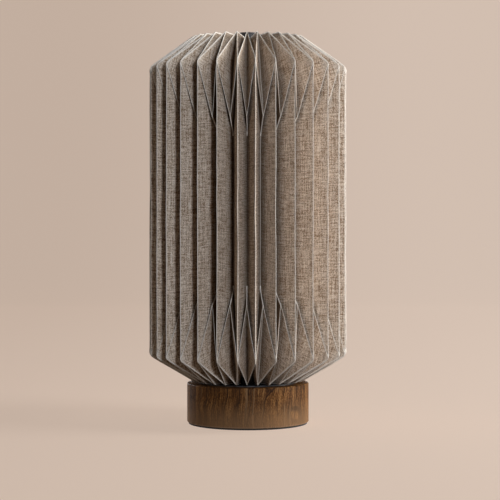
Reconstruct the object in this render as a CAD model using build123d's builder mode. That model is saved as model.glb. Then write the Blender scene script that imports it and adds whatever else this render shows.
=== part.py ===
"""A table lamp: a folded linen-laminate shade that lifts off a turned walnut base.

Frame: origin on the table under the middle of the base, +Z up, the front faces -Y.
All sizes are in millimetres.
"""
import os
from math import cos, hypot, radians, sin, sqrt, tan

from build123d import *

os.makedirs("parts", exist_ok=True)

# ------------------------------------------------------------------ driving dimensions

# clearances
seat_gap = 0.3  # a folded edge to the hard piece it is glued to or lies on
slip_gap = 0.4  # the lift-off ring round the seat's lip
screw_gap = 0.1  # a screw, tube or bush in its hole

# turned walnut base
base_radius = 77.0
base_height = 49.5
base_top_round = 1.6
base_foot_chamfer = 1.0
base_roof = 14.0  # wood left above the hollow
hollow_radius = 46.0
pad_thickness = 2.0
pad_inset = 2.0

# steel ballast plate under the hollow
ballast_radius = 57.0
ballast_thickness = 9.0
ballast_screw_count = 4
ballast_screw_radius = 1.9
ballast_screw_length = 24.0

# cable inlet at the back
cable_bore_radius = 3.4
gland_radius = 6.0
gland_flange_radius = 9.0
gland_flange_thickness = 2.5
gland_recess = 2.0
gland_tail = 8.0
gland_nut_flats = 18.0
gland_nut_thickness = 5.0
gland_nut_margin = 1.0  # flat wood left round the nut
gland_flange_round = 0.8

# black seat plate on the wood
seat_radius = 62.0
seat_thickness = 1.5
lip_radius = 35.6
lip_width = 2.0
lip_height = 5.0
seat_screw_count = 3
seat_screw_circle = 22.0
seat_screw_radius = 1.75
seat_screw_length = 12.0

# countersunk heads
head_ratio = 2.0  # head radius over shank radius
head_angle = 90.0
drive_width_ratio = 0.45  # slot width over shank radius
drive_depth_ratio = 0.5  # slot depth over shank radius

# threaded tube and what it clamps
tube_radius = 5.0
tube_bore_radius = 3.8
tube_end = 2.0  # tube left below its nut
tube_nut_flats = 14.0
tube_nut_thickness = 4.0
tube_washer_radius = 12.0
tube_washer_thickness = 2.0
sleeve_radius = 8.0
sleeve_length = 80.0

# lampholder
holder_radius = 19.0
holder_wall = 2.0
holder_neck_radius = 9.0
holder_neck_height = 10.0
holder_flare_height = 10.0
holder_joint = 6.0  # how far the shell's skirt stands inside the cap
holder_ledge = 1.2  # width of the ledge that the insert stands on
shell_height = 28.0
shell_round = 1.0
shell_bore_radius = 14.9
insert_radius = 14.7
insert_height = 10.0
wire_hole_radius = 1.8
wire_hole_offset = 5.0
terminal_offset = 8.0
terminal_head_radius = 2.6
terminal_head_height = 2.0
terminal_shank_radius = 1.5
screw_shell_radius = 13.6  # inside
screw_shell_wall = 0.5
screw_shell_height = 22.0
contact_width = 5.0
contact_length = 10.0
contact_thickness = 0.6
contact_rise = 3.4
contact_setback = 1.2  # how much shorter the sprung leaf is than its foot
lock_screw_radius = 1.5

# bulb, measured up from its tip
tip_radius = 4.5
tip_height = 1.2
insulator_height = 3.8
insulator_foot = 5.5  # radius round the tip
cap_root_radius = 12.6
cap_crest_radius = 13.1
cap_wall = 0.4
thread_pitch = 3.63
thread_turns = 5
cap_collar = 2.8  # plain band above the thread
housing_height = 40.0
housing_wall = 1.6
housing_neck_depth = 14.0
deck_thickness = 2.0
deck_drop = 4.0  # top of the deck below the housing's rim
globe_radius = 30.0
globe_drop = 12.0  # globe centre above the housing's rim
globe_wall = 1.2
board_thickness = 1.5
chip_count = 12
chip_circle = 15.0
chip_size = 2.8
chip_height = 0.7
driver_thickness = 1.6
driver_height = 34.0

# folded sheet
pleat_count = 30
ridge_radius = 125.0
valley_radius = 88.5
sheet_thickness = 0.5
body_height = 364.0  # lower shoulder to upper shoulder
lower_rise = 33.0  # lower rim to lower shoulder
upper_rise = 37.0  # upper shoulder to upper rim
crimp_depth = 87.0  # shoulder to the start of the reversed valley
kite_depth = 65.5  # shoulder to the kite's inner tip
kite_radius = 109.5
rim_radius = 70.0
groove_angle = 3.4  # slope of the deep fold over each shoulder
lower_mouth_radius = 40.0
upper_mouth_radius = 20.0

# ring in the lower mouth, hub in the upper mouth
ring_height = 22.0
hub_sink = 2.0  # hub top below the upper rim
hub_plate_radius = 24.0
hub_plate_thickness = 2.0
cap_radius = 14.5
cap_proud = 7.0  # cap top above the upper rim
cap_round = 3.0
hub_screw_radius = 1.95
hub_screw_grip = 6.0  # thread inside the cap
hub_screw_head_radius = 4.0
hub_screw_head_height = 2.6
hub_screw_round = 0.9

# ------------------------------------------------------------------ heights that follow

wood_bottom = pad_thickness
wood_top = wood_bottom + base_height
hollow_floor = wood_bottom + ballast_thickness
hollow_roof = wood_top - base_roof
inlet_height = (hollow_floor + hollow_roof) / 2
seat_top = wood_top + seat_thickness
sleeve_top = seat_top + sleeve_length
washer_bottom = hollow_roof - tube_washer_thickness
nut_bottom = washer_bottom - tube_nut_thickness
tube_bottom = nut_bottom - tube_end
tube_top = sleeve_top + holder_neck_height
insert_bottom = tube_top + holder_flare_height
insert_top = insert_bottom + insert_height
joint_height = insert_bottom + holder_joint
bulb_bottom = insert_top + contact_rise
thread_bottom = bulb_bottom + tip_height + insulator_height
cap_top = thread_bottom + thread_turns * thread_pitch + cap_collar
housing_top = cap_top + housing_height
lower_rim = seat_top + seat_gap
lower_shoulder = lower_rim + lower_rise
upper_shoulder = lower_shoulder + body_height
upper_rim = upper_shoulder + upper_rise
half_pitch = 180.0 / pleat_count
front = -90.0  # direction of the front, with a valley in the middle of it
ballast_screw_start = 45.0  # direction of the first ballast screw


def save(piece, name):
    """Label a finished piece and write it as its own file."""
    piece.part.label = name
    export_step(piece.part, f"parts/{name}.step")


def wood_screws(flat, count, circle, start, radius, length):
    """Countersunk slotted screws on a circle, driven along the normal of the plane flat."""
    head = radius * head_ratio
    cone = (head - radius) / tan(radians(head_angle / 2))
    low = (Align.CENTER, Align.CENTER, Align.MIN)
    with BuildPart(flat) as screws:
        with PolarLocations(circle, count, start_angle=start):
            Cone(head, radius, cone, align=low)
            Cylinder(radius, length, align=low)
            Box(
                2 * head,
                radius * drive_width_ratio,
                radius * drive_depth_ratio,
                align=low,
                mode=Mode.SUBTRACT,
            )
    return screws


# ------------------------------------------------------------------ base

ballast_screw_circle = (hollow_radius + ballast_radius) / 2
back_plane = Plane(origin=(0, 0, inlet_height), x_dir=(1, 0, 0), z_dir=(0, 1, 0))
gland_seat = base_radius - gland_recess
nut_corner = gland_nut_flats / sqrt(3)

# The base is turned from one block: bored hollow from below, with a shallow step for the
# ballast plate, a cable hole at the back and a tube hole through the roof.
with BuildPart() as base_body:
    with BuildSketch(Plane.XY.offset(wood_bottom)):
        Circle(base_radius)
    extrude(amount=base_height)
    fillet(base_body.faces().sort_by(Axis.Z)[-1].edges(), base_top_round)
    chamfer(base_body.faces().sort_by(Axis.Z)[0].edges(), base_foot_chamfer)
    with BuildSketch(Plane.XY.offset(wood_bottom)):
        Circle(ballast_radius + slip_gap)
    extrude(amount=ballast_thickness, mode=Mode.SUBTRACT)
    with BuildSketch(Plane.XY.offset(hollow_floor)):
        Circle(hollow_radius)
    extrude(amount=hollow_roof - hollow_floor, mode=Mode.SUBTRACT)
    # a flat inside the hollow for the gland's nut, and a flat recess outside for its flange
    with BuildSketch(back_plane):
        Rectangle(2 * (nut_corner + gland_nut_margin), 2 * (nut_corner + gland_nut_margin))
    extrude(amount=hollow_radius, mode=Mode.SUBTRACT)
    with BuildSketch(back_plane):
        Circle(gland_radius + screw_gap)
    extrude(amount=base_radius, mode=Mode.SUBTRACT)
    with BuildSketch(back_plane.offset(gland_seat)):
        Circle(gland_flange_radius + screw_gap)
    extrude(amount=base_radius, mode=Mode.SUBTRACT)
    with BuildSketch(Plane.XY.offset(hollow_roof)):
        Circle(tube_radius + screw_gap)
    extrude(amount=base_roof, mode=Mode.SUBTRACT)
    with Locations((0, 0, seat_top)):
        with PolarLocations(seat_screw_circle, seat_screw_count, start_angle=front):
            CounterSinkHole(
                seat_screw_radius + screw_gap,
                seat_screw_radius * head_ratio + screw_gap,
                depth=seat_screw_length,
                counter_sink_angle=head_angle,
            )
    with Locations(Plane.XY.offset(hollow_floor)):
        with PolarLocations(ballast_screw_circle, ballast_screw_count, start_angle=ballast_screw_start):
            Cylinder(
                ballast_screw_radius + screw_gap,
                ballast_screw_length - ballast_thickness,
                align=(Align.CENTER, Align.CENTER, Align.MIN),
                mode=Mode.SUBTRACT,
            )
save(base_body, "base_body")

# Felt glued under the wood and the ballast plate.
with BuildPart() as base_pad:
    with BuildSketch():
        Circle(base_radius - pad_inset)
    extrude(amount=pad_thickness)
save(base_pad, "base_pad")

with BuildPart() as ballast_plate:
    with BuildSketch(Plane.XY.offset(wood_bottom)):
        Circle(ballast_radius)
    extrude(amount=ballast_thickness)
    with Locations(Plane.XY.offset(wood_bottom).rotated((180, 0, 0))):
        with PolarLocations(ballast_screw_circle, ballast_screw_count, start_angle=ballast_screw_start):
            CounterSinkHole(
                ballast_screw_radius + screw_gap,
                ballast_screw_radius * head_ratio + screw_gap,
                depth=ballast_thickness,
                counter_sink_angle=head_angle,
            )
save(ballast_plate, "ballast_plate")

ballast_screws = wood_screws(
    Plane.XY.offset(wood_bottom),
    ballast_screw_count,
    ballast_screw_circle,
    ballast_screw_start,
    ballast_screw_radius,
    ballast_screw_length,
)
save(ballast_screws, "ballast_screws")

# Flanged bush through the back wall, with a nut on its tail inside the hollow.
with BuildPart() as cable_gland:
    with BuildSketch(back_plane.offset(hollow_radius - gland_tail)):
        Circle(gland_radius)
    extrude(amount=gland_seat - hollow_radius + gland_tail)
    with BuildSketch(back_plane.offset(gland_seat)):
        Circle(gland_flange_radius)
    extrude(amount=gland_flange_thickness)
    fillet(cable_gland.faces().sort_by(Axis.Y)[-1].edges(), gland_flange_round)
    with BuildSketch(back_plane):
        Circle(cable_bore_radius)
    extrude(amount=2 * base_radius, mode=Mode.SUBTRACT)
save(cable_gland, "cable_gland")

with BuildPart() as gland_nut:
    with BuildSketch(back_plane.offset(hollow_radius - gland_nut_thickness)):
        RegularPolygon(nut_corner, 6)
        Circle(gland_radius + screw_gap, mode=Mode.SUBTRACT)
    extrude(amount=gland_nut_thickness)
save(gland_nut, "gland_nut")

# Pressed steel plate on the wood: the folded edge lies on its flat, the lip centres it.
with BuildPart() as shade_seat:
    with BuildSketch(Plane.XY.offset(wood_top)):
        Circle(seat_radius)
    extrude(amount=seat_thickness)
    with BuildSketch(Plane.XY.offset(seat_top)):
        Circle(lip_radius)
        Circle(lip_radius - lip_width, mode=Mode.SUBTRACT)
    extrude(amount=lip_height)
    with BuildSketch(Plane.XY.offset(wood_top)):
        Circle(tube_radius + screw_gap)
    extrude(amount=seat_thickness, mode=Mode.SUBTRACT)
    with Locations((0, 0, seat_top)):
        with PolarLocations(seat_screw_circle, seat_screw_count, start_angle=front):
            CounterSinkHole(
                seat_screw_radius + screw_gap,
                seat_screw_radius * head_ratio + screw_gap,
                depth=seat_screw_length,
                counter_sink_angle=head_angle,
            )
save(shade_seat, "shade_seat")

seat_screws = wood_screws(
    Plane.XY.offset(seat_top).rotated((180, 0, 0)),
    seat_screw_count,
    seat_screw_circle,
    -front,
    seat_screw_radius,
    seat_screw_length,
)
save(seat_screws, "seat_screws")

# ------------------------------------------------------------------ stem

with BuildPart() as threaded_tube:
    with BuildSketch(Plane.XY.offset(tube_bottom)):
        Circle(tube_radius)
        Circle(tube_bore_radius, mode=Mode.SUBTRACT)
    extrude(amount=tube_top - tube_bottom)
save(threaded_tube, "threaded_tube")

with BuildPart() as tube_washer:
    with BuildSketch(Plane.XY.offset(washer_bottom)):
        Circle(tube_washer_radius)
        Circle(tube_radius + screw_gap, mode=Mode.SUBTRACT)
    extrude(amount=tube_washer_thickness)
save(tube_washer, "tube_washer")

with BuildPart() as tube_nut:
    with BuildSketch(Plane.XY.offset(nut_bottom)):
        RegularPolygon(tube_nut_flats / sqrt(3), 6)
        Circle(tube_radius + screw_gap, mode=Mode.SUBTRACT)
    extrude(amount=tube_nut_thickness)
save(tube_nut, "tube_nut")

with BuildPart() as stem_sleeve:
    with BuildSketch(Plane.XY.offset(seat_top)):
        Circle(sleeve_radius)
        Circle(tube_radius + screw_gap, mode=Mode.SUBTRACT)
    extrude(amount=sleeve_length)
save(stem_sleeve, "stem_sleeve")

# ------------------------------------------------------------------ lampholder

skirt_radius = holder_radius - holder_wall - screw_gap
ledge_radius = insert_radius - holder_ledge
lock_height = sleeve_top + holder_neck_height / 4
shell_top = joint_height + shell_height

# Moulded cap: screwed to the tube at its neck, open at the top, with a ledge for the insert.
with BuildPart() as holder_cap:
    with BuildSketch(Plane.XZ):
        with BuildLine():
            Polyline(
                (tube_radius + screw_gap, sleeve_top),
                (holder_neck_radius, sleeve_top),
                (holder_neck_radius, sleeve_top + holder_neck_height / 2),
                (holder_radius, insert_bottom - holder_wall),
                (holder_radius, joint_height),
                (holder_radius - holder_wall, joint_height),
                (holder_radius - holder_wall, insert_bottom),
                (ledge_radius, insert_bottom),
                (ledge_radius, insert_bottom - holder_wall),
                (tube_radius + screw_gap, tube_top),
                close=True,
            )
        make_face()
    revolve(axis=Axis.Z)
    with Locations(Plane(origin=(0, 0, lock_height), z_dir=(0, -1, 0))):
        Cylinder(
            lock_screw_radius + screw_gap,
            holder_neck_radius,
            align=(Align.CENTER, Align.CENTER, Align.MIN),
            mode=Mode.SUBTRACT,
        )
save(holder_cap, "holder_cap")

# Grub screw that locks the cap's neck on the tube.
with BuildPart() as lock_screw:
    with BuildSketch(Plane(origin=(0, -tube_radius, lock_height), z_dir=(0, -1, 0))):
        Circle(lock_screw_radius)
    extrude(amount=holder_neck_radius - tube_radius - seat_gap)
    with BuildSketch(Plane(origin=(0, -holder_neck_radius, lock_height), z_dir=(0, 1, 0))):
        RegularPolygon(lock_screw_radius / 2, 6)
    extrude(amount=(holder_neck_radius - tube_radius) / 2, mode=Mode.SUBTRACT)
save(lock_screw, "lock_screw")

# Moulded shell: its skirt screws into the cap and holds the insert down.
with BuildPart() as holder_shell:
    with BuildSketch(Plane.XY.offset(insert_bottom)):
        Circle(skirt_radius)
    extrude(amount=holder_joint)
    with BuildSketch(Plane.XY.offset(joint_height)):
        Circle(holder_radius)
    extrude(amount=shell_height)
    fillet(holder_shell.faces().sort_by(Axis.Z)[-1].edges(), shell_round)
    with BuildSketch(Plane.XY.offset(insert_bottom)):
        Circle(shell_bore_radius)
    extrude(amount=shell_top - insert_bottom, mode=Mode.SUBTRACT)
save(holder_shell, "holder_shell")

# Ceramic insert that carries both contacts and the two terminals.
with BuildPart() as holder_insert:
    with BuildSketch(Plane.XY.offset(insert_bottom)):
        Circle(insert_radius)
        with Locations((0, wire_hole_offset), (0, -wire_hole_offset)):
            Circle(wire_hole_radius, mode=Mode.SUBTRACT)
    extrude(amount=insert_height)
    with Locations((terminal_offset, 0, insert_bottom), (-terminal_offset, 0, insert_bottom)):
        Cylinder(
            terminal_shank_radius + screw_gap,
            insert_height / 2,
            align=(Align.CENTER, Align.CENTER, Align.MIN),
            mode=Mode.SUBTRACT,
        )
save(holder_insert, "holder_insert")

with BuildPart() as terminal_screws:
    with Locations((terminal_offset, 0, insert_bottom), (-terminal_offset, 0, insert_bottom)):
        Cylinder(terminal_shank_radius, insert_height / 2, align=(Align.CENTER, Align.CENTER, Align.MIN))
        Cylinder(terminal_head_radius, terminal_head_height, align=(Align.CENTER, Align.CENTER, Align.MAX))
    with Locations(
        (terminal_offset, 0, insert_bottom - terminal_head_height),
        (-terminal_offset, 0, insert_bottom - terminal_head_height),
    ):
        Box(
            2 * terminal_head_radius,
            terminal_shank_radius * drive_width_ratio,
            terminal_shank_radius * drive_depth_ratio,
            align=(Align.CENTER, Align.CENTER, Align.MIN),
            mode=Mode.SUBTRACT,
        )
save(terminal_screws, "terminal_screws")

# Screw shell: drawn as its plain inner wall, which the bulb's thread turns in.
with BuildPart() as screw_shell:
    with BuildSketch(Plane.XY.offset(insert_top)):
        Circle(screw_shell_radius + screw_shell_wall)
        Circle(screw_shell_radius, mode=Mode.SUBTRACT)
    extrude(amount=screw_shell_height)
save(screw_shell, "screw_shell")

# Centre contact: one strip folded back over its own foot, so that it springs.
with BuildPart() as centre_contact:
    with BuildSketch(Plane.XZ.offset(-contact_width / 2)):
        with Locations((-contact_length / 2, insert_top)):
            Rectangle(contact_length, contact_thickness, align=(Align.MIN, Align.MIN))
            Rectangle(contact_thickness, contact_rise, align=(Align.MIN, Align.MIN))
        with Locations((-contact_length / 2, insert_top + contact_rise)):
            Rectangle(contact_length - contact_setback, contact_thickness, align=(Align.MIN, Align.MAX))
    extrude(amount=contact_width)
save(centre_contact, "centre_contact")

# ------------------------------------------------------------------ bulb

rim_of_globe = sqrt(globe_radius**2 - globe_drop**2)
inner_globe = globe_radius - globe_wall
inner_rim_of_globe = sqrt(inner_globe**2 - globe_drop**2)
globe_centre = housing_top + globe_drop
neck_radius = cap_root_radius - cap_wall - screw_gap
deck_top = housing_top - deck_drop
housing_slope = (rim_of_globe - cap_root_radius) / housing_height


def housing_wall_radius(height):
    """The inside of the housing's cone at a height."""
    return cap_root_radius + (height - cap_top) * housing_slope - housing_wall


with BuildPart() as bulb_tip:
    with BuildSketch(Plane.XY.offset(bulb_bottom)):
        Circle(tip_radius)
    extrude(amount=tip_height)
save(bulb_tip, "bulb_tip")

with BuildPart() as bulb_insulator:
    with BuildSketch(Plane.XY.offset(bulb_bottom + tip_height)):
        Circle(insulator_foot)
    with BuildSketch(Plane.XY.offset(thread_bottom)):
        Circle(neck_radius)
    loft()
save(bulb_insulator, "bulb_insulator")

# Screw cap: the rolled thread is drawn as closed rounds, one to each turn.
with BuildPart() as bulb_cap:
    with BuildSketch(Plane.XZ):
        with BuildLine():
            for turn in range(thread_turns):
                root = thread_bottom + turn * thread_pitch
                ThreePointArc(
                    (cap_root_radius, root),
                    (cap_crest_radius, root + thread_pitch / 2),
                    (cap_root_radius, root + thread_pitch),
                )
            Polyline(
                (cap_root_radius, thread_bottom + thread_turns * thread_pitch),
                (cap_root_radius, cap_top),
                (cap_root_radius - cap_wall, cap_top),
                (cap_root_radius - cap_wall, thread_bottom),
                (cap_root_radius, thread_bottom),
            )
        make_face()
    revolve(axis=Axis.Z)
save(bulb_cap, "bulb_cap")

# Housing: a neck crimped into the cap, a cone, and a deck for the board.
with BuildPart() as bulb_housing:
    with BuildSketch(Plane.XZ):
        with BuildLine():
            Polyline(
                (neck_radius - housing_wall, cap_top - housing_neck_depth),
                (neck_radius, cap_top - housing_neck_depth),
                (neck_radius, cap_top),
                (cap_root_radius, cap_top),
                (rim_of_globe, housing_top),
                (rim_of_globe - globe_wall, housing_top),
                (housing_wall_radius(deck_top), deck_top),
                (0, deck_top),
                (0, deck_top - deck_thickness),
                (housing_wall_radius(deck_top - deck_thickness), deck_top - deck_thickness),
                (neck_radius - housing_wall, cap_top),
                close=True,
            )
        make_face()
    revolve(axis=Axis.Z)
save(bulb_housing, "bulb_housing")

with BuildPart() as driver_board:
    with Locations((0, 0, cap_top - housing_neck_depth)):
        Box(
            2 * (neck_radius - housing_wall - seat_gap),
            driver_thickness,
            driver_height,
            align=(Align.CENTER, Align.CENTER, Align.MIN),
        )
save(driver_board, "driver_board")

with BuildPart() as led_board:
    with BuildSketch(Plane.XY.offset(deck_top)):
        Circle(housing_wall_radius(deck_top) - seat_gap)
    extrude(amount=board_thickness)
save(led_board, "led_board")

with BuildPart() as led_chips:
    with BuildSketch(Plane.XY.offset(deck_top + board_thickness)):
        with PolarLocations(chip_circle, chip_count):
            Rectangle(chip_size, chip_size)
    extrude(amount=chip_height)
save(led_chips, "led_chips")

# Frosted globe on the housing's rim.
with BuildPart() as bulb_globe:
    with BuildSketch(Plane.XZ):
        with BuildLine():
            Line((0, globe_centre + inner_globe), (0, globe_centre + globe_radius))
            ThreePointArc(
                (0, globe_centre + globe_radius),
                (globe_radius, globe_centre),
                (rim_of_globe, housing_top),
            )
            Line((rim_of_globe, housing_top), (inner_rim_of_globe, housing_top))
            ThreePointArc(
                (inner_rim_of_globe, housing_top),
                (inner_globe, globe_centre),
                (0, globe_centre + inner_globe),
            )
        make_face()
    revolve(axis=Axis.Z)
save(bulb_globe, "bulb_globe")

# ------------------------------------------------------------------ folded sheet


def spot(radius, height, angle):
    """A point by radius, height and angle round the lamp's axis."""
    return Vector(radius * cos(radians(angle)), radius * sin(radians(angle)), height)


def fold_end(shoulder, side, rise, mouth_radius):
    """The corners of the fold pattern at one end: name to radius, height and angle.

    side is 1 at the upper end and -1 at the lower end. Angle 0 is a body ridge and
    half_pitch is the valley beside it.
    """
    rim = shoulder + side * rise
    groove = shoulder + side * (ridge_radius - mouth_radius) * tan(radians(groove_angle))
    return {
        "shoulder": (ridge_radius, shoulder, 0.0),
        "crimp": (valley_radius, shoulder - side * crimp_depth, half_pitch),
        "kite": (kite_radius, shoulder - side * kite_depth, half_pitch),
        "rim": (rim_radius, rim, half_pitch),
        "mouth": (mouth_radius, rim, half_pitch),
        "groove": (mouth_radius, groove, 0.0),
    }


end_panels = [
    ("shoulder", "kite", "crimp"),
    ("shoulder", "rim", "kite"),
    ("shoulder", "groove", "rim"),
    ("rim", "groove", "mouth"),
]


def panel_normal(corners, side):
    """Unit vector out of the shade from a panel's first three corners."""
    first, second, third = [spot(*c) for c in corners[:3]]
    return (third - first).cross(second - first).normalized() * side


def inner_end(end, side):
    """The same corners on the inside of the sheet, one sheet thickness behind every panel.

    Each corner moves in its own mirror plane by the step that fits its panels best.
    """
    inner = {}
    for name, (radius, height, angle) in end.items():
        out = spot(1.0, 0.0, angle)
        normals = [
            panel_normal([end[c] for c in panel], side) for panel in end_panels if name in panel
        ]
        if name in ("shoulder", "crimp"):
            normals.append(body_normal)
        rr = sum(n.dot(out) ** 2 for n in normals)
        rz = sum(n.dot(out) * n.Z for n in normals)
        zz = sum(n.Z**2 for n in normals)
        push_r = -sheet_thickness * sum(n.dot(out) for n in normals)
        push_z = -sheet_thickness * sum(n.Z for n in normals)
        if name in ("mouth", "groove"):
            step_r, step_z = 0.0, push_z / zz
        else:
            split = rr * zz - rz**2
            step_r = (push_r * zz - push_z * rz) / split
            step_z = (push_z * rr - push_r * rz) / split
        inner[name] = (radius + step_r, height + step_z, angle)
    return inner


ridge_line = spot(ridge_radius, 0.0, 0.0)
valley_line = spot(valley_radius, 0.0, half_pitch)
body_normal = (valley_line - ridge_line).cross(Vector(0, 0, 1)).normalized()

upper_end = fold_end(upper_shoulder, 1, upper_rise, upper_mouth_radius)
lower_end = fold_end(lower_shoulder, -1, lower_rise, lower_mouth_radius)
upper_inner = inner_end(upper_end, 1)
lower_inner = inner_end(lower_end, -1)
panel_width = hypot(
    ridge_radius - valley_radius * cos(radians(half_pitch)), valley_radius * sin(radians(half_pitch))
)
print("flat panel width", round(panel_width, 2), "inner shoulder", upper_inner["shoulder"])

half_faces = [[upper_end["shoulder"], upper_end["crimp"], lower_end["crimp"], lower_end["shoulder"]]]
half_faces += [[upper_inner["shoulder"], upper_inner["crimp"], lower_inner["crimp"]]]
half_faces += [[upper_inner["shoulder"], lower_inner["crimp"], lower_inner["shoulder"]]]
for corners in (upper_end, upper_inner, lower_end, lower_inner):
    half_faces += [[corners[name] for name in panel] for panel in end_panels]
for outer, inner in ((upper_end, upper_inner), (lower_end, lower_inner)):
    half_faces += [[outer["mouth"], outer["groove"], inner["groove"], inner["mouth"]]]

# One sheet of linen laminated on card, pleated all round. At each end the pleats are
# crimped at the shoulder, so that kite-shaped facets lean in to the rim.
sheet_faces = []
for pleat in range(pleat_count):
    ridge_angle = front + half_pitch + pleat * 2 * half_pitch
    for mirror_side in (1, -1):
        for face in half_faces:
            points = [spot(r, z, ridge_angle + mirror_side * a) for r, z, a in face]
            sheet_faces.append(Face(Wire.make_polygon(points, close=True)))
with BuildPart() as pleated_shade:
    add(Solid(Shell(sheet_faces)))
save(pleated_shade, "pleated_shade")
print("sheet", pleated_shade.part.is_valid, round(pleated_shade.part.volume))

# ------------------------------------------------------------------ ring and hub

with BuildPart() as bottom_ring:
    with BuildSketch(Plane.XY.offset(seat_top)):
        Circle(lower_mouth_radius - seat_gap)
        Circle(lip_radius + slip_gap, mode=Mode.SUBTRACT)
    extrude(amount=ring_height)
save(bottom_ring, "bottom_ring")

hub_bottom = upper_inner["groove"][1] - seat_gap
hub_top = upper_rim - hub_sink
cap_height = hub_sink + cap_proud

with BuildPart() as top_hub:
    with BuildSketch(Plane.XY.offset(hub_bottom)):
        Circle(upper_mouth_radius - seat_gap)
        Circle(hub_screw_radius + screw_gap, mode=Mode.SUBTRACT)
    extrude(amount=hub_top - hub_bottom)
save(top_hub, "top_hub")

with BuildPart() as hub_plate:
    with BuildSketch(Plane.XY.offset(hub_bottom)):
        Circle(hub_plate_radius)
        Circle(hub_screw_radius + screw_gap, mode=Mode.SUBTRACT)
    extrude(amount=-hub_plate_thickness)
save(hub_plate, "hub_plate")

with BuildPart() as top_cap:
    with BuildSketch(Plane.XY.offset(hub_top)):
        Circle(cap_radius)
    extrude(amount=cap_height)
    fillet(top_cap.faces().sort_by(Axis.Z)[-1].edges(), cap_round)
    with BuildSketch(Plane.XY.offset(hub_top)):
        Circle(hub_screw_radius + screw_gap)
    extrude(amount=hub_screw_grip + seat_gap, mode=Mode.SUBTRACT)
save(top_cap, "top_cap")

with BuildPart() as hub_screw:
    with BuildSketch(Plane.XY.offset(hub_bottom - hub_plate_thickness)):
        Circle(hub_screw_radius)
    extrude(amount=hub_plate_thickness + hub_top - hub_bottom + hub_screw_grip)
    with BuildSketch(Plane.XY.offset(hub_bottom - hub_plate_thickness)):
        Circle(hub_screw_head_radius)
    extrude(amount=-hub_screw_head_height)
    fillet(hub_screw.faces().sort_by(Axis.Z)[0].edges(), hub_screw_round)
    with Locations((0, 0, hub_bottom - hub_plate_thickness - hub_screw_head_height)):
        Box(
            2 * hub_screw_head_radius,
            hub_screw_radius * drive_width_ratio,
            hub_screw_radius * drive_depth_ratio,
            align=(Align.CENTER, Align.CENTER, Align.MIN),
            mode=Mode.SUBTRACT,
        )
save(hub_screw, "hub_screw")
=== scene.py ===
"""A pleated table lamp: folded linen shade on a turned walnut base, dressed for pictures.

Metres, +Z up, front -Y. The sections follow the lamp as it is put together, from the
table up. Each opens with what the real piece is and how it is made.
"""
from math import cos, hypot, pi, radians, sin, tan

import bpy
import numpy as np
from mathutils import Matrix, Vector


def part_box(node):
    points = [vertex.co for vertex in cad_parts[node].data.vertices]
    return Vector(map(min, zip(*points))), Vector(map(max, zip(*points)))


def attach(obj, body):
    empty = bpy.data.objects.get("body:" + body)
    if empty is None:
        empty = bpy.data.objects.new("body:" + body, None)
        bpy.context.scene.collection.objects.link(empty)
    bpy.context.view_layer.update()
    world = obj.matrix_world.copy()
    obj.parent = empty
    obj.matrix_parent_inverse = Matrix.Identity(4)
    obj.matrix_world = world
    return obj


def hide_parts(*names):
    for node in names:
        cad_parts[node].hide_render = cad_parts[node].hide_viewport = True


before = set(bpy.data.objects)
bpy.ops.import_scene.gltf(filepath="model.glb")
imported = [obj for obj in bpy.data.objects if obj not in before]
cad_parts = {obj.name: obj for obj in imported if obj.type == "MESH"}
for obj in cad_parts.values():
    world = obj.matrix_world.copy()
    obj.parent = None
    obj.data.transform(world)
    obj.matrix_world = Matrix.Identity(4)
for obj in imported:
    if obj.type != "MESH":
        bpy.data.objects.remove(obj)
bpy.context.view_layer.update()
scene = bpy.context.scene
scene.view_settings.view_transform = "Standard"

# ---------------------------------------------------------------- where it stands
# A pale studio sweep: a floor that curves up behind into a plain wall, seen level from the
# front through a long lens that is shifted down a little.

camera_distance = 2.062
eye_height = 0.2605
lens_mm = 117.0
shift_across, shift_down = 0.0042, -0.0654

camera = bpy.data.objects.new("camera", bpy.data.cameras.new("camera"))
scene.collection.objects.link(camera)
camera.location = (0.0, -camera_distance, eye_height)
camera.rotation_euler = (pi / 2, 0.0, 0.0)
camera.data.lens = lens_mm
camera.data.sensor_width = 36.0
camera.data.shift_x, camera.data.shift_y = shift_across, shift_down
camera.data.clip_start = 0.05
scene.camera = camera


class Term:
    """One value in a node tree. Arithmetic on it adds the nodes that work it out."""

    def __init__(self, tree, socket):
        self.tree, self.socket = tree, socket

    def math(self, operation, *others):
        return self.tree.add("ShaderNodeMath", {"operation": operation}, dict(enumerate((self,) + others)))

    def __add__(self, other):
        return self.math("ADD", other)

    def __mul__(self, other):
        return self.math("MULTIPLY", other)

    def __sub__(self, other):
        return self.math("SUBTRACT", other)

    def __rsub__(self, other):
        return self.tree.number(other).math("SUBTRACT", self)

    def __truediv__(self, other):
        return self.math("DIVIDE", other)

    def __rtruediv__(self, other):
        return self.tree.number(other).math("DIVIDE", self)

    def __pow__(self, other):
        return self.math("POWER", other)

    def __neg__(self):
        return self * -1.0

    def __gt__(self, other):
        return self.math("GREATER_THAN", other)

    def __lt__(self, other):
        return self.math("LESS_THAN", other)

    def __abs__(self):
        return self.math("ABSOLUTE")

    __radd__, __rmul__ = __add__, __mul__

    def least(self, other):
        return self.math("MINIMUM", other)

    def most(self, other):
        return self.math("MAXIMUM", other)

    def fade(self, start, end, low=0.0, high=1.0):
        """low up to start, high from end, and a smooth step between."""
        settings, sockets = {"interpolation_type": "SMOOTHSTEP"}, {0: self, 1: start, 2: end, 3: low, 4: high}
        return self.tree.add("ShaderNodeMapRange", settings, sockets)


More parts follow.
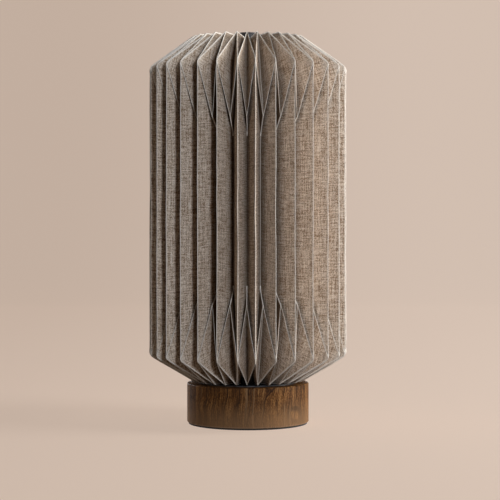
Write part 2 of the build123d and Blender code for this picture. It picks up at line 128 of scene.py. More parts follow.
class Tree:
    """A node tree, and the one way in which nodes are added to it."""

    def __init__(self, tree):
        self.tree = tree

    def add(self, kind, settings=None, sockets=None, out=0):
        """A node's type, its settings, then the values or links of its sockets."""
        node = self.tree.nodes.new(kind)
        for name, value in (settings or {}).items():
            if name == "curve":
                self.bend(node, value)
            elif name == "stops":
                for stop, (place, colour) in zip(self.stops(node, len(value)), value):
                    stop.position, stop.color = place, tuple(colour) + (1.0,)
            else:
                setattr(node, name, value)
        for name, value in (sockets or {}).items():
            if isinstance(value, Term):
                self.tree.links.new(value.socket, node.inputs[name])
            elif value is not None:
                node.inputs[name].default_value = value
        return Term(self, node.outputs[out] if node.outputs else None)

    @staticmethod
    def stops(node, count):
        ramp = node.color_ramp.elements
        while len(ramp) < count:
            ramp.new(1.0)
        return ramp

    @staticmethod
    def bend(node, points):
        line = node.mapping.curves[0].points
        line[0].location, line[1].location = points[0], points[-1]
        for x, y in points[1:-1]:
            line.new(x, y)
        node.mapping.update()

    def number(self, value):
        node = self.tree.nodes.new("ShaderNodeValue")
        node.outputs[0].default_value = value
        return Term(self, node.outputs[0])

    def noise(self, vector, scale, detail=2.0, roughness=0.5, distortion=0.0):
        sockets = {"Vector": vector, "Scale": scale, "Detail": detail, "Roughness": roughness}
        return self.add("ShaderNodeTexNoise", None, {**sockets, "Distortion": distortion})

    def stretched(self, vector, across, shift=(0.0, 0.0, 0.0)):
        """vector scaled by across along each axis, then moved by shift."""
        return self.add("ShaderNodeMapping", None, {"Vector": vector, "Scale": across, "Location": shift})

    def mix(self, factor, first, second):
        sockets = {0: factor, 6: as_rgba(first), 7: as_rgba(second)}
        return self.add("ShaderNodeMix", {"data_type": "RGBA"}, sockets, 2)

    def ramp(self, factor, *stops):
        return self.add("ShaderNodeValToRGB", {"stops": stops}, {0: factor})

    def split(self, vector):
        node = self.add("ShaderNodeSeparateXYZ", None, {0: vector}).socket.node
        return [Term(self, output) for output in node.outputs]

    def bump(self, height, distance, strength=1.0):
        sockets = {"Height": height, "Distance": distance, "Strength": strength}
        return self.add("ShaderNodeBump", None, sockets)


def as_rgba(colour):
    return colour if isinstance(colour, Term) else tuple(colour) + (1.0,)


class Finish(Tree):
    """A material: its tree, the place on the piece, and its surface shader."""

    def __init__(self, name):
        self.material = bpy.data.materials.new(name)
        self.material.use_nodes = True
        super().__init__(self.material.node_tree)
        self.tree.nodes.clear()
        object_coordinates = 3
        self.place = self.add("ShaderNodeTexCoord", None, None, object_coordinates)

    def surface(self, **sockets):
        """The principled surface, with plain numbers on its own sockets."""
        named = {name.replace("_", " "): value for name, value in sockets.items()}
        shader = self.add("ShaderNodeBsdfPrincipled", None, named)
        self.add("ShaderNodeOutputMaterial", None, {0: shader})
        return self.material


def dress(node, material):
    """Gives a carried-over node its finish."""
    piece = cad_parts[node]
    piece.data.materials.clear()
    piece.data.materials.append(material)


def lamp(name, turn, rise, brightness, width, height, colour=(1.0, 1.0, 1.0), distance=2.5):
    """A soft rectangular lamp that faces the shade.

    It stands turn degrees right of the front and rise degrees up. A brightness of 1 shows
    a surface that faces it in the surface's own colour.
    """
    light = bpy.data.objects.new(name, bpy.data.lights.new(name, "AREA"))
    scene.collection.objects.link(light)
    light.data.shape = "RECTANGLE"
    light.data.size, light.data.size_y = width, height
    light.data.energy, light.data.color = brightness * (pi * distance) ** 2, colour
    level = cos(radians(rise))
    away = Vector((sin(radians(turn)) * level, -cos(radians(turn)) * level, sin(radians(rise))))
    light.location = shade_middle + away * distance
    light.rotation_euler = (-away).to_track_quat("-Z", "Y").to_euler()
    light.visible_camera = False
    return light


shade_middle = Vector((0.0, 0.0, 0.27))
lamp("overhead", 75.0, 52.0, 0.20, 0.90, 0.90)
object_only = [
    lamp("softbox", 14.0, 12.0, 0.37, 0.26, 0.50, (0.85, 0.92, 1.04)),
    lamp("window", 91.0, 18.0, 1.22, 1.60, 3.50, (1.0, 0.985, 0.97), 3.8),
    lamp("behind", 176.0, 22.0, 0.50, 1.10, 1.10),
    lamp("behind_left", -145.0, 16.0, 0.60, 0.80, 1.20, (0.93, 0.96, 1.0)),
]

world = bpy.data.worlds.new("room")
scene.world = world
world.use_nodes = True
air = Tree(world.node_tree)
air.tree.nodes.clear()


def shown_directly(tree):
    """1 for camera, glossy and transmission rays, which see the background, and 0 for others."""
    ray = tree.add("ShaderNodeLightPath").socket.node.outputs
    seen, mirrored, through = [
        Term(tree, ray[kind]) for kind in ("Is Camera Ray", "Is Glossy Ray", "Is Transmission Ray")
    ]
    return seen.most(mirrored).most(through)


room_fill, fill_tone, room_tone = 0.02, (0.95, 0.97, 1.0), (0.63, 0.51, 0.425)
seen = shown_directly(air)
background = air.add(
    "ShaderNodeBackground", None, {0: air.mix(seen, fill_tone, room_tone), 1: (1.0 - seen) * room_fill + seen}
)
air.add("ShaderNodeOutputWorld", None, {0: background})

# The sweep shows mostly its own glow. The glow that reaches diffuse rays stands in for the
# light that the floor would bounce up, because most lamps are linked away from it below.
floor_tone, floor_bounce = (0.46, 0.375, 0.315), (0.085, 0.069, 0.057)
bounce_share = 0.6
glow_left, glow_right, glow_reach = (0.50, 0.395, 0.325), (0.60, 0.487, 0.410), 0.7
sweep_front, sweep_back, sweep_side, sweep_rise, sweep_bend = -4.5, 3.6, 3.4, 3.2, 1.0
profile = [(sweep_front, 0.0), (sweep_back - sweep_bend, 0.0)]
bend_steps = 24
for step in range(1, bend_steps + 1):
    turn = step / bend_steps * pi / 2
    profile.append((sweep_back - sweep_bend + sweep_bend * sin(turn), sweep_bend * (1 - cos(turn))))
profile.append((sweep_back, sweep_rise))
sweep = bpy.data.meshes.new("sweep")
sweep.from_pydata(
    [(side, y, z) for y, z in profile for side in (-sweep_side, sweep_side)],
    [],
    [(2 * i, 2 * i + 1, 2 * i + 3, 2 * i + 2) for i in range(len(profile) - 1)],
)
sweep.shade_smooth()
studio = bpy.data.objects.new("studio_sweep", sweep)
scene.collection.objects.link(studio)
plaster = Finish("painted_sweep")
to_the_right, _, _ = plaster.split(plaster.place)
shown = shown_directly(plaster)
# The glow is painted brighter towards the right, as light falling from that side.
glow = plaster.mix(to_the_right.fade(-glow_reach, glow_reach), glow_left, glow_right)
studio.data.materials.append(
    plaster.surface(
        Base_Color=plaster.mix(shown, [part * bounce_share for part in floor_tone], floor_tone),
        Emission_Color=plaster.mix(shown, floor_bounce, glow),
        Emission_Strength=1.0,
        Roughness=0.9,
        Specular_IOR_Level=0.2,
    )
)

# Only the overhead lamp is left to light the wall and floor, so the shadow there is its alone.
unlit = bpy.data.collections.new("unlit_studio")
unlit.objects.link(studio)
for light in object_only:
    light.light_linking.receiver_collection = unlit
unlit.collection_objects[0].light_linking.link_state = "EXCLUDE"


# ---------------------------------------------------------------- base
# A disc turned from one block of walnut with the grain upright, oiled to a satin. The growth
# lines run up the side, and the pores show as fine dark dashes.

walnut = Finish("oiled_walnut")
across, depth, up = walnut.split(walnut.place)
sway = walnut.noise(walnut.stretched(walnut.place, (9.0, 9.0, 15.0)), 1.0, 2.0, 0.5) - 0.5
ripple = walnut.noise(walnut.stretched(walnut.place, (60.0, 60.0, 45.0)), 1.0, 1.0, 0.5) - 0.5
tree_centre, ring_pitch = (-0.16, 0.11), 0.0125
ring_sway, ring_ripple = 0.030, 0.0022
grain_sway, grain_ripple = 0.02, 0.002
from_heart = ((across - tree_centre[0]) ** 2.0 + (depth - tree_centre[1]) ** 2.0).math("SQRT")
from_heart = from_heart + sway * ring_sway + ripple * ring_ripple
phase = (from_heart / ring_pitch).math("FRACT")
late_wood = phase.fade(0.45, 0.93) * (1.0 - phase.fade(0.94, 1.0))
ring_line = phase.fade(0.86, 0.92) * (1.0 - phase.fade(0.94, 0.99))
leaning = across + sway * grain_sway + ripple * grain_ripple
bent = walnut.add("ShaderNodeCombineXYZ", None, {0: leaning, 1: depth, 2: up})
fibre = walnut.noise(walnut.stretched(bent, (520.0, 520.0, 26.0)), 1.0, 3.0, 0.7)
coarse = walnut.noise(walnut.stretched(bent, (130.0, 130.0, 7.0)), 1.0, 3.0, 0.6)
speck = walnut.noise(walnut.stretched(walnut.place, (900.0, 900.0, 420.0)), 1.0, 1.0, 0.5)
pores = walnut.noise(walnut.stretched(bent, (760.0, 760.0, 130.0)), 1.0, 1.0, 0.4).fade(0.60, 0.70)
pale_line = walnut.noise(walnut.stretched(bent, (150.0, 150.0, 3.0), shift=(3.0, 1.0, 0.0)), 1.0, 1.0)
pale_line = pale_line.fade(0.700, 0.735)
flame = walnut.noise(walnut.stretched(walnut.place, (14.0, 14.0, 20.0)), 1.0, 3.0, 0.6)
wood_dark, wood_mid, wood_light = (0.030, 0.0120, 0.0038), (0.142, 0.056, 0.0145), (0.34, 0.165, 0.055)
tone = (flame - 0.5) * 0.6 + (coarse - 0.5) * 1.1 + (fibre - 0.5) * 1.5 + (speck - 0.5) * 0.9 + 0.48
wood = walnut.ramp(tone, (0.16, wood_dark), (0.5, wood_mid), (0.86, wood_light))
# The foot of the wood is painted lighter with bounce light from below, and the bottom chamfer most of all, as
# a painted highlight.
foot_bounce_light = up.fade(0.004, 0.040, 0.66, 0.0)
chamfer_bounce_highlight = up.fade(0.0024, 0.0040, 1.0, 0.0)
for amount, tint in (
    (late_wood * 0.45, (0.030, 0.012, 0.005)),
    (ring_line * 0.70, (0.012, 0.005, 0.003)),
    (pores * 0.6, (0.016, 0.007, 0.003)),
    (pale_line * 0.5, (0.30, 0.18, 0.09)),
    (foot_bounce_light, (0.30, 0.165, 0.078)),
    (chamfer_bounce_highlight * 0.8, (0.44, 0.28, 0.17)),
):
    wood = walnut.mix(amount, wood, tint)
dress(
    "base_body",
    walnut.surface(
        Base_Color=wood,
        Roughness=0.46 + fibre * 0.16 + pores * 0.2,
        Specular_IOR_Level=0.10,
        Normal=walnut.bump(fibre * 0.6 + coarse * 0.5 - pores * 1.2 - late_wood * 0.2, 0.00022, 0.6),
    ),
)

# The pad is pressed wool felt, glued under the wood, a little smaller than it.
felt = Finish("wool_felt")
tangle = felt.noise(felt.place, 1400.0, 3.0, 0.7, 1.2)
dress(
    "base_pad",
    felt.surface(
        Base_Color=felt.mix(tangle, (0.010, 0.009, 0.008), (0.035, 0.031, 0.028)),
        Roughness=0.95,
        Sheen_Weight=0.25,
        Normal=felt.bump(tangle, 0.0004, 0.8),
    ),
)


# ---------------------------------------------------------------- metal and moulded parts
# Ballast, screws, washer and nut are turned or stamped steel; the seat, the sleeve and the
# cap are steel with a satin black powder coat; gland, ring and hub are moulded black nylon.


def turned_steel(name, dark, light, roughness, ring_scale):
    """Bright metal with the fine rings that a lathe leaves."""
    steel = Finish(name)
    x, y, _ = steel.split(steel.place)
    radius = (x ** 2.0 + y ** 2.0).math("SQRT")
    smudge = steel.noise(steel.place, 70.0, 3.0, 0.6)
    lines = steel.noise(steel.add("ShaderNodeCombineXYZ", None, {0: radius * ring_scale}), 1.0, 2.0, 0.7)
    return steel.surface(
        Base_Color=steel.mix(smudge * 0.6 + lines * 0.4, dark, light),
        Metallic=1.0,
        Roughness=roughness + smudge * 0.12 + lines * 0.06,
        Normal=steel.bump(lines, 0.00004, 0.5),
    )


def coated(name, dark, light, roughness, grain_scale, grain_depth):
    """Powder coat or moulded plastic: a fine even grain, a little uneven in gloss."""
    coat = Finish(name)
    orange_peel = coat.noise(coat.place, grain_scale, 2.0, 0.6)
    smudge = coat.noise(coat.place, 55.0, 3.0, 0.6)
    return coat.surface(
        Base_Color=coat.mix(smudge * 0.5 + orange_peel * 0.5, dark, light),
        Roughness=roughness + smudge * 0.14,
        Normal=coat.bump(orange_peel, grain_depth, 0.6),
    )


zinc_steel = turned_steel("zinc_steel", (0.42, 0.43, 0.45), (0.66, 0.67, 0.69), 0.28, 1500.0)
raw_steel = turned_steel("oiled_steel", (0.16, 0.155, 0.15), (0.33, 0.33, 0.335), 0.36, 1100.0)
brass = turned_steel("stamped_brass", (0.50, 0.33, 0.11), (0.78, 0.58, 0.26), 0.26, 1700.0)
nickel = turned_steel("nickel_cap", (0.52, 0.51, 0.50), (0.80, 0.79, 0.78), 0.22, 1900.0)
coat_grain, nylon_grain, smooth_grain = 0.00006, 0.00005, 0.00003
black_coat = coated(
    "black_powder_coat", (0.008, 0.009, 0.011), (0.019, 0.020, 0.024), 0.42, 1500.0, coat_grain
)
black_nylon = coated("black_nylon", (0.010, 0.010, 0.011), (0.024, 0.024, 0.026), 0.52, 2300.0, nylon_grain)
phenolic = coated("black_phenolic", (0.008, 0.008, 0.009), (0.020, 0.019, 0.019), 0.24, 500.0, smooth_grain)

for node in ("ballast_screws", "threaded_tube", "tube_washer", "tube_nut", "lock_screw", "hub_screw"):
    dress(node, zinc_steel)
dress("ballast_plate", raw_steel)
for node in ("shade_seat", "seat_screws", "stem_sleeve", "hub_plate", "top_cap"):
    dress(node, black_coat)
for node in ("cable_gland", "gland_nut", "bottom_ring", "top_hub"):
    dress(node, black_nylon)


# ---------------------------------------------------------------- lampholder
# A two-part moulded holder screwed to the tube: cap, shell, ceramic insert, brass contacts.

for node in ("holder_cap", "holder_shell"):
    dress(node, phenolic)
for node in ("terminal_screws", "screw_shell", "centre_contact"):
    dress(node, brass)
dress("holder_insert", coated("steatite", (0.62, 0.60, 0.55), (0.78, 0.77, 0.73), 0.6, 900.0, 0.00005))


# ---------------------------------------------------------------- bulb
# A frosted globe on a white plastic housing, with a rolled nickel screw cap.

for node, finish, dark, light, roughness, grain_scale in (
    ("bulb_housing", "white_moulding", (0.74, 0.74, 0.72), (0.82, 0.82, 0.80), 0.42, 1200.0),
    ("bulb_insulator", "black_vitrite", (0.006, 0.005, 0.009), (0.015, 0.013, 0.02), 0.12, 300.0),
    ("driver_board", "solder_mask", (0.02, 0.09, 0.035), (0.035, 0.13, 0.05), 0.35, 700.0),
    ("led_board", "white_mask", (0.76, 0.76, 0.73), (0.84, 0.84, 0.82), 0.35, 700.0),
    ("led_chips", "phosphor", (0.78, 0.52, 0.08), (0.86, 0.62, 0.14), 0.3, 900.0),
):
    dress(node, coated(finish, dark, light, roughness, grain_scale, smooth_grain))
for node in ("bulb_cap", "bulb_tip"):
    dress(node, nickel)
opal = Finish("opal_globe")
haze = opal.noise(opal.place, 45.0, 2.0)
dress(
    "bulb_globe",
    opal.surface(
        Base_Color=opal.mix(haze, (0.80, 0.79, 0.76), (0.85, 0.845, 0.82)),
        Roughness=0.3 + haze * 0.08,
        Subsurface_Weight=0.3,
        Subsurface_Scale=0.004,
        Coat_Weight=0.1,
    ),
)


# ---------------------------------------------------------------- shade
# One long sheet of natural linen laminated on card, scored, pleated into thirty folds and
# joined into a tube. At each shoulder the folds are crimped, so that kite-shaped facets lean
# in to the rim, and from there the folds run level to the middle. Worn folds show pale card.

shade_low, shade_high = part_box("pleated_shade")
pleats = 30
ridge_allowance = 0.0009  # the ridges are rounded, so they end up inside this radius
ridge_radius = shade_high.x + ridge_allowance
valley_radius = 0.0885
lower_rise, upper_rise = 0.033, 0.037
crimp_depth, kite_depth, kite_radius, rim_radius = 0.091, 0.0695, 0.1095, 0.070
tip_lift = 0.0026
lower_mouth, upper_mouth = 0.040, 0.020
groove_slope = tan(radians(3.4))
fold_radius, ridge_fold, shoulder_radius = 0.0008, 0.0026, 0.0030
lower_shoulder = shade_low.z + lower_rise
upper_shoulder = shade_high.z - upper_rise
half_body = (upper_shoulder - lower_shoulder) / 2
half_turn = pi / pleats
panel = hypot(ridge_radius - valley_radius * cos(half_turn), valley_radius * sin(half_turn))
kite_flat = crimp_depth - hypot(kite_radius - valley_radius, crimp_depth - kite_depth)
# rim_flat is worked out for the upper end, and the lower end is drawn with it too.
rim_flat = hypot(kite_radius - rim_radius, kite_depth + upper_rise + tip_lift) - kite_flat


def end_curves(side, above):
    """Radius and height of the valley line and of the groove line, above a shoulder.

    side is 1 at the upper end and -1 at the lower end; above is measured on the flat sheet.
    """
    rise = upper_rise if side > 0 else lower_rise
    mouth = upper_mouth if side > 0 else lower_mouth
    shoulder = upper_shoulder if side > 0 else lower_shoulder
    stations = [-2 * half_body, -crimp_depth, -kite_flat, rim_flat, rim_flat + rim_radius - mouth]
    radii = [valley_radius, valley_radius, kite_radius, rim_radius, mouth]
    tip = rise + tip_lift if side > 0 else rise
    heights = [-2 * half_body, -crimp_depth, -kite_depth, tip, rise]
    valley = np.interp(above, stations, radii), shoulder + side * np.interp(above, stations, heights)
    level = np.clip(above, 0.0, stations[-1]) / stations[-1] * (ridge_radius - mouth)
    groove = ridge_radius - level, shoulder + side * level * groove_slope
    return valley, groove, stations[-1]


def fold(x, y):
    """Where a point of the flat sheet lies once the sheet is folded. x is 0 on a ridge."""
    pleat = np.round(x / (2 * panel))
    within = x - pleat * 2 * panel
    t = np.abs(within) / panel
    side_angle = np.sign(within) * half_turn
    place = np.zeros(x.shape + (3,))
    for side in (1, -1):
        above = side * y - half_body
        shoulder = upper_shoulder if side > 0 else lower_shoulder
        edge = end_curves(side, above)[2]
        body = above <= -crimp_depth * t
        fan = ~body & (above <= rim_flat * t)
        run = (above - t * rim_flat) / (t * (edge - rim_flat) + (1 - t) * edge)
        safe = np.maximum(t, 1e-6)
        past_rim = rim_flat + run * (edge - rim_flat)
        on_valley = np.where(fan, above / safe, np.where(body, above, past_rim))
        on_ridge = np.where(body, above, np.where(fan, 0.0, run * edge))
        valley, _, _ = end_curves(side, on_valley)
        _, groove, _ = end_curves(side, on_ridge)
        valley_r = np.where(body, valley_radius, valley[0])
        valley_z = np.where(body, shoulder + side * above, valley[1])
        ridge_z = np.where(body, shoulder + side * above, groove[1])
        ridge_r = np.where(body, ridge_radius, groove[0])
        here = np.stack(
            [
                (1 - t) * ridge_r + t * valley_r * np.cos(side_angle),
                t * valley_r * np.sin(side_angle),
                (1 - t) * ridge_z + t * valley_z,
            ],
            -1,
        )
        place = np.where((side * y >= 0)[..., None], here, place)
    turn = pleat * 2 * half_turn
    return np.stack(
        [
            place[..., 0] * np.cos(turn) - place[..., 1] * np.sin(turn),
            place[..., 0] * np.sin(turn) + place[..., 1] * np.cos(turn),
            place[..., 2],
        ],
        -1,
    )


top_edge = end_curves(1, 0.0)[2]
foot_edge = end_curves(-1, 0.0)[2]
shoulder_reach, ridge_reach, ridge_end = 0.006, 0.005, 0.006


def soft_fold(x, y):
    """The fold with its creases rounded: the average over a small disc of the flat sheet."""
    above = np.abs(y) - half_body
    at_shoulder = np.exp(-((np.hypot(x, above) / shoulder_reach) ** 2))
    on_ridge = np.exp(-((x / ridge_reach) ** 2)) * np.clip(-above / ridge_end, 0.0, 1.0)
    reach = fold_radius + (ridge_fold - fold_radius) * on_ridge
    reach = np.maximum(reach, fold_radius + (shoulder_radius - fold_radius) * at_shoulder)
    total, count = fold(x, y), 1
    for ring, spokes in ((0.5, 6), (1.0, 12)):
        for spoke in range(spokes):
            angle = 2 * pi * (spoke + ring) / spokes
            sample_y = np.clip(
                y + reach * ring * sin(angle), -half_body - foot_edge, half_body + top_edge
            )
            total = total + fold(x + reach * ring * cos(angle), sample_y)
            count += 1
    return total / count


def near(*distances):
    """Row or column stations that crowd towards a crease, in metres."""
    return [d / 1000 for d in distances]


columns = near(0.0, 0.5, 1.1, 2.0, 3.4, 9.0, 18.0, 28.0, 35.0, 37.2) + [panel]
body_stations, clear_of_crimp = 9, 1.42


def end_rows(edge):
    """Rows from the body to the mouth: pairs of flat heights at the ridge and at the valley."""
    rows = [(-crimp_depth * 0.55, -crimp_depth * 1.28), (-crimp_depth * 0.25, -crimp_depth * 1.12)]
    rows += [(-d, -crimp_depth - d) for d in near(9.0, 4.0, 1.6)]
    rows += [(0.0, -crimp_depth)]
    rows += [(0.0, -crimp_depth + d) for d in near(2.0, 6.0, 15.0)]
    rows += [(0.0, -kite_flat - d) for d in near(6.0, 2.0)]
    rows += [(0.0, -kite_flat)]
    rows += [(0.0, -kite_flat + d) for d in near(1.8, 4.5, 12.0, 26.0)]
    rows += [(0.0, rim_flat - d) for d in near(68.0, 48.0, 28.0, 13.0, 5.0, 1.8)]
    rows += [(0.0, rim_flat)]
    rows += [(d, rim_flat + d) for d in near(1.8, 5.0)]
    gap = edge - rim_flat
    rows += [(edge * q, rim_flat + gap * q) for q in (0.16, 0.3, 0.46, 0.62, 0.8, 1.0)]
    return rows


body_rows = [
    (y, y) for y in np.linspace(-1, 1, body_stations) * (half_body - crimp_depth * clear_of_crimp)
]
lower = [(-half_body - ridge, -half_body - valley) for ridge, valley in reversed(end_rows(foot_edge))]
upper = [(half_body + ridge, half_body + valley) for ridge, valley in end_rows(top_edge)]
rows = lower + body_rows + upper

# One pleat, from valley to valley, is drawn on the flat sheet and folded.
stations = [-c for c in reversed(columns)] + columns[1:]
flat = np.array([[(x, r + (v - r) * abs(x) / panel) for x in stations] for r, v in rows])
folded = soft_fold(flat[..., 0], flat[..., 1])
wide = len(stations)
pleat_mesh = bpy.data.meshes.new("one_pleat")
pleat_mesh.from_pydata(
    folded.reshape(-1, 3).tolist(),
    [],
    [
        (j * wide + i, j * wide + i + 1, (j + 1) * wide + i + 1, (j + 1) * wide + i)
        for j in range(len(rows) - 1)
        for i in range(wide - 1)
    ],
)
flat_map = pleat_mesh.uv_layers.new(name="flat")
corner = np.zeros(len(pleat_mesh.loops), int)
pleat_mesh.loops.foreach_get("vertex_index", corner)
flat_map.data.foreach_set("uv", flat.reshape(-1, 2)[corner].ravel())
shade = bpy.data.objects.new("linen_shade", pleat_mesh)
scene.collection.objects.link(shade)

linen = Finish("linen_laminate")
cloth = linen.add("ShaderNodeUVMap", {"uv_map": "flat"})
x, y, _ = linen.split(cloth)

# The cloth was laid on the card a little askew, so its threads drift off the fold lines.
thread = 0.00074
warp_drift, weft_drift, weft_slope = 0.006, 0.020, 0.03
drift = linen.noise(linen.stretched(cloth, (11.0, 9.0, 1.0)), 1.0, 2.0)
slant = linen.noise(linen.stretched(cloth, (8.0, 6.0, 1.0), shift=(4.0, 2.0, 0.0)), 1.0, 2.0)
across, along = x + drift * warp_drift, y + slant * weft_drift + x * weft_slope
lay = linen.add("ShaderNodeCombineXYZ", None, {0: across, 1: along})
warp_count, weft_count = across / thread, along / thread
warp_yarn, weft_yarn = warp_count.math("FLOOR"), weft_count.math("FLOOR")
crossing = linen.add("ShaderNodeCombineXYZ", None, {0: warp_yarn, 1: weft_yarn})
knot = linen.add("ShaderNodeTexWhiteNoise", {"noise_dimensions": "2D"}, {"Vector": crossing})
over = ((warp_yarn + weft_yarn) * 0.5).math("FRACT") * 2.0
warp_round = 1.0 - (warp_count.math("FRACT") * 2.0 - 1.0) ** 2.0
weft_round = 1.0 - (weft_count.math("FRACT") * 2.0 - 1.0) ** 2.0
weave = over * warp_round + (1.0 - over) * weft_round
upright = linen.noise(linen.stretched(lay, (640.0, 34.0, 1.0)), 1.0, 1.5, 0.6)
level = linen.noise(linen.stretched(lay, (48.0, 700.0, 1.0), shift=(3.1, 7.7, 0.0)), 1.0, 1.5, 0.6)
slub, stripe, fleck = [
    linen.noise(linen.stretched(lay, scale, shift=shift), 1.0, 1.0).fade(start, end)
    for scale, shift, start, end in (
        ((60.0, 620.0, 1.0), (9.0, 2.0, 0.0), 0.64, 0.78),
        ((560.0, 48.0, 1.0), (5.0, 4.0, 0.0), 0.67, 0.8),
        ((360.0, 470.0, 1.0), (1.0, 8.0, 0.0), 0.70, 0.78),
    )
]
mottle = linen.noise(lay, 150.0, 3.0, 0.6)
cloudy = linen.noise(lay, 26.0, 2.0, 0.5)
linen_dark, linen_mid, linen_light = (0.27, 0.175, 0.104), (0.675, 0.527, 0.393), (0.92, 0.81, 0.68)
tone = (knot - 0.5) * 0.60 + (upright - 0.5) * 1.15 + (level - 0.5) * 1.10
tone = tone + (mottle - 0.5) * 0.15 + (cloudy - 0.5) * 0.15 + weave * 0.10 + 0.43
colour = linen.ramp(tone, (0.14, linen_dark), (0.5, linen_mid), (0.86, linen_light))
slub_tone, fleck_tone = (0.15, 0.10, 0.065), (0.24, 0.12, 0.045)
colour = linen.mix(slub.most(stripe) * 0.36, colour, slub_tone)
colour = linen.mix(fleck * 0.65, colour, fleck_tone)

# Distances from the scored lines, worked out on the flat sheet, whose folds repeat.
from_valley = x.math("PINGPONG", panel)
from_ridge = panel - from_valley
above = abs(y) - half_body


def from_score(valley_height):
    """Distance from the scored line that runs from a shoulder to a height on the valley."""
    slope = valley_height / panel
    return abs(above - from_ridge * slope) / hypot(1.0, slope)


on_body = above < 0.0
reversed_valley = ((above > -crimp_depth) * (above < -kite_flat)).most(above > rim_flat)
away, narrower = 1.0, 1.7
mountain = (from_ridge + (1.0 - on_body) * away).least(from_score(-kite_flat) * narrower)
mountain = mountain.least(from_score(rim_flat)).least(from_valley + (1.0 - reversed_valley) * away)
worn_least, worn_spread = 0.0016, 0.0020
raggedness = linen.noise(linen.stretched(cloth, (160.0, 160.0, 1.0)), 1.0, 2.0)
worn_width = worn_least + raggedness * worn_spread
worn = 1.0 - (mountain / worn_width).fade(0.45, 1.0)
worn = worn * linen.noise(cloth, 900.0, 2.0, 0.6).fade(0.25, 0.5, 0.8, 1.0)
valley_crease = (from_valley + reversed_valley * away).least(from_ridge + on_body * away)
valley_crease = valley_crease.least(from_score(-crimp_depth))
crease_shade_reach, seam_core, seam_reach, fold_shade_reach = 0.0022, 0.0004, 0.0016, 0.023
crease_shade_tone, tuck_shade_tone, fold_shade_tone = (0.12, 0.085, 0.06), (0.055, 0.031, 0.016), (0.090, 0.049, 0.021)
rubbed_and_highlight_tone, worn_tone = (0.86, 0.78, 0.67), (0.98, 0.90, 0.79)
# Painted shade darkens the linen along the valley creases.
colour = linen.mix((1.0 - valley_crease.fade(0.0, crease_shade_reach)) * 0.35, colour, crease_shade_tone)
# Painted shade fills the narrow facet tucked between the two crimp creases and fades over about 3 mm onto the
# body below it.
tuck_shade = (above + crimp_depth / panel * from_ridge).fade(-0.0030, 0.0002)
tuck_shade = tuck_shade * (above + kite_flat / panel * from_ridge).fade(-0.0004, 0.0006, 1.0, 0.0)
colour = linen.mix(tuck_shade * 0.92, colour, tuck_shade_tone)
# Near each shoulder the linen is painted lighter: partly rubbed wear, partly a painted highlight.
shoulder_wear_and_highlight = ((from_ridge ** 2.0 + above ** 2.0).math("SQRT")).fade(0.002, 0.013, 0.45, 0.0)
colour = linen.mix(shoulder_wear_and_highlight, colour, rubbed_and_highlight_tone)

# The dark deep in the folds is painted shade, laid on by distance from the valley; it stays under any light.
painted_fold_shade = (1.0 - from_valley.fade(0.0, fold_shade_reach)) * above.fade(-crimp_depth, -0.03, 0.72, 0.55)
colour = linen.mix(painted_fold_shade, colour, fold_shade_tone)
seam = 1.0 - abs(x - 2 * panel).fade(seam_core, seam_reach)
colour = linen.mix(seam * 0.6, colour, rubbed_and_highlight_tone)
colour = linen.mix(worn * 0.98, colour, worn_tone)
relief = weave * 0.5 + knot * 0.3 + upright * 0.8 + level * 0.8 + slub + stripe
linen_face = linen.surface(
    Base_Color=colour,
    Roughness=0.84 + weave * 0.1,
    Specular_IOR_Level=0.12,
    Sheen_Weight=0.05,
    Sheen_Roughness=0.45,
    Normal=linen.bump(relief, 0.00022, 0.55),
)

card = Finish("card_backing")
pulp = card.noise(card.place, 260.0, 4.0, 0.65)
card_face = card.surface(
    Base_Color=card.mix(pulp, (0.66, 0.63, 0.57), (0.76, 0.73, 0.67)),
    Roughness=0.85,
    Normal=card.bump(pulp, 0.0001, 0.4),
)
cut = Finish("cut_edge")
ply = cut.noise(cut.place, 2200.0, 2.0, 0.7)
cut_face = cut.surface(Base_Color=cut.mix(ply, (0.36, 0.30, 0.24), (0.62, 0.56, 0.48)), Roughness=0.9)

# The pleat is set thirty times round the axis. The folds crowd at the glued seam in front,
# and the whole sheet is a little uneven, as hand-folded card is. Each pair is an even
# division of the circle and where the hand put it, in degrees from the front.
set_by_hand = [
    (-180.0, -180.0), (-102.0, -102.0), (-78.0, -77.6), (-66.0, -64.8), (-54.0, -53.3),
    (-42.0, -41.2), (-30.0, -29.2), (-18.0, -17.4), (-6.0, -5.7), (6.0, 4.1), (18.0, 15.6),
    (30.0, 27.2), (42.0, 39.5),
    (54.0, 52.0), (66.0, 65.3), (78.0, 77.7), (102.0, 102.0), (180.0, 180.0),
]
net = bpy.data.node_groups.new("pleats_round_the_axis", "GeometryNodeTree")
for name, kind, flow in (
    ("Pleat", "NodeSocketGeometry", "INPUT"),
    ("Pleats", "NodeSocketInt", "INPUT"),
    ("Panel width", "NodeSocketFloat", "INPUT"),
    ("Unevenness", "NodeSocketFloat", "INPUT"),
    ("Shade", "NodeSocketGeometry", "OUTPUT"),
):
    net.interface.new_socket(name=name, in_out=flow, socket_type=kind)
g = Tree(net)
given = net.nodes.new("NodeGroupInput")
inputs = {socket.name: Term(g, socket) for socket in given.outputs if socket.name}
index = g.add("GeometryNodeInputIndex")
points = g.add("GeometryNodePoints", None, {"Count": inputs["Pleats"]})
step = 2.0 * pi / inputs["Pleats"]
turn = index * step + (step * 0.5 - pi / 2)
spin = g.add("FunctionNodeEulerToRotation", None, {0: g.add("ShaderNodeCombineXYZ", None, {2: turn})})
ringed = g.add(
    "GeometryNodeInstanceOnPoints",
    None,
    {"Points": points, "Instance": inputs["Pleat"], "Rotation": spin},
)
store = {"data_type": "FLOAT", "domain": "INSTANCE"}
ringed = g.add(
    "GeometryNodeStoreNamedAttribute", store, {"Geometry": ringed, "Name": "pleat", "Value": index}
)
sheet = g.add("GeometryNodeRealizeInstances", None, {"Geometry": ringed})
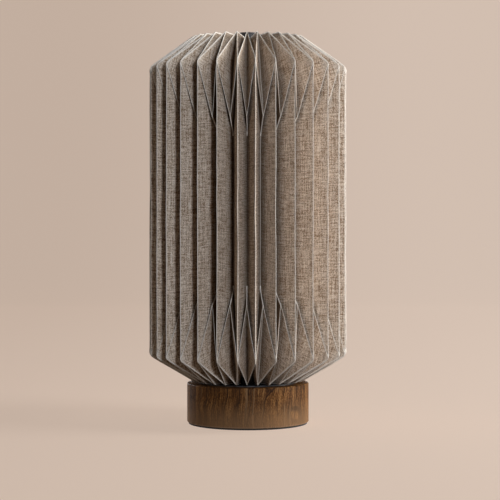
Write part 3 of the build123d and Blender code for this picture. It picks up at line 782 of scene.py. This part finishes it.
number = g.add("GeometryNodeInputNamedAttribute", {"data_type": "FLOAT"}, {"Name": "pleat"})
flat_place = g.add("GeometryNodeInputNamedAttribute", {"data_type": "FLOAT_VECTOR"}, {"Name": "flat"})
slide = g.add("ShaderNodeCombineXYZ", None, {0: (number * 2.0 + 1.0) * inputs["Panel width"]})
moved = g.add("ShaderNodeVectorMath", {"operation": "ADD"}, {0: flat_place, 1: slide})
store = {"data_type": "FLOAT2", "domain": "CORNER"}
sheet = g.add(
    "GeometryNodeStoreNamedAttribute", store, {"Geometry": sheet, "Name": "flat", "Value": moved}
)
weld_distance = 0.00002
sheet = g.add("GeometryNodeMergeByDistance", None, {"Geometry": sheet, "Distance": weld_distance})
px, py, pz = g.split(g.add("GeometryNodeInputPosition"))
radius = (px ** 2.0 + py ** 2.0).math("SQRT")
angle = px.math("ARCTAN2", -py)
setting = {"curve": [(even / 360 + 0.5, real / 360 + 0.5) for even, real in set_by_hand]}
real_angle = (g.add("ShaderNodeFloatCurve", setting, {1: angle / (2 * pi) + 0.5}) - 0.5) * (2 * pi)
drift = g.add(
    "ShaderNodeTexNoise",
    {"noise_dimensions": "3D"},
    {"Vector": g.add("GeometryNodeInputPosition"), "Scale": 19.0, "Detail": 2.0, "Roughness": 0.55},
    1,
)
outward = radius.fade(0.026, 0.075) * inputs["Unevenness"]
dx, dy, dz = [(part - 0.5) * outward for part in g.split(drift)]
new_angle = real_angle + dx / radius.most(0.02)
new_radius = radius + dy
across, forward = new_radius * new_angle.math("SINE"), new_radius * new_angle.math("COSINE")
place = g.add("ShaderNodeCombineXYZ", None, {0: across, 1: -forward, 2: pz + dz})
sheet = g.add("GeometryNodeSetPosition", None, {"Geometry": sheet, "Position": place})
sheet = g.add("GeometryNodeSetShadeSmooth", None, {"Geometry": sheet})
sheet = g.add("GeometryNodeSetMaterial", None, {"Geometry": sheet, "Material": linen_face})
result = net.nodes.new("NodeGroupOutput")
net.links.new(sheet.socket, result.inputs[0])

folding = shade.modifiers.new("folding", "NODES")
folding.node_group = net
hand_unevenness = 0.0022
values = {"Pleats": pleats, "Panel width": panel, "Unevenness": hand_unevenness}
for socket in net.interface.items_tree:
    if socket.in_out == "INPUT" and socket.name in values:
        folding[socket.identifier] = values[socket.name]

sheet_thickness, card_slot, edge_slot = 0.0005, 1, 2


def made_plain(piece):
    """Turns a piece's evaluated shape into its own mesh and drops the modifiers."""
    bpy.context.view_layer.update()
    evaluated = piece.evaluated_get(bpy.context.evaluated_depsgraph_get())
    shape = bpy.data.meshes.new_from_object(evaluated)
    piece.modifiers.clear()
    piece.data = shape


made_plain(shade)
shade.data.materials.clear()
for material in (linen_face, card_face, cut_face):
    shade.data.materials.append(material)
thick = shade.modifiers.new("card", "SOLIDIFY")
thick.thickness, thick.offset = sheet_thickness, -1.0
thick.material_offset, thick.material_offset_rim = card_slot, edge_slot
made_plain(shade)
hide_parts("pleated_shade")
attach(shade, "shade")
flat_length = 2 * half_body + top_edge + foot_edge
print("shade triangles", sum(len(p.vertices) - 2 for p in shade.data.polygons))
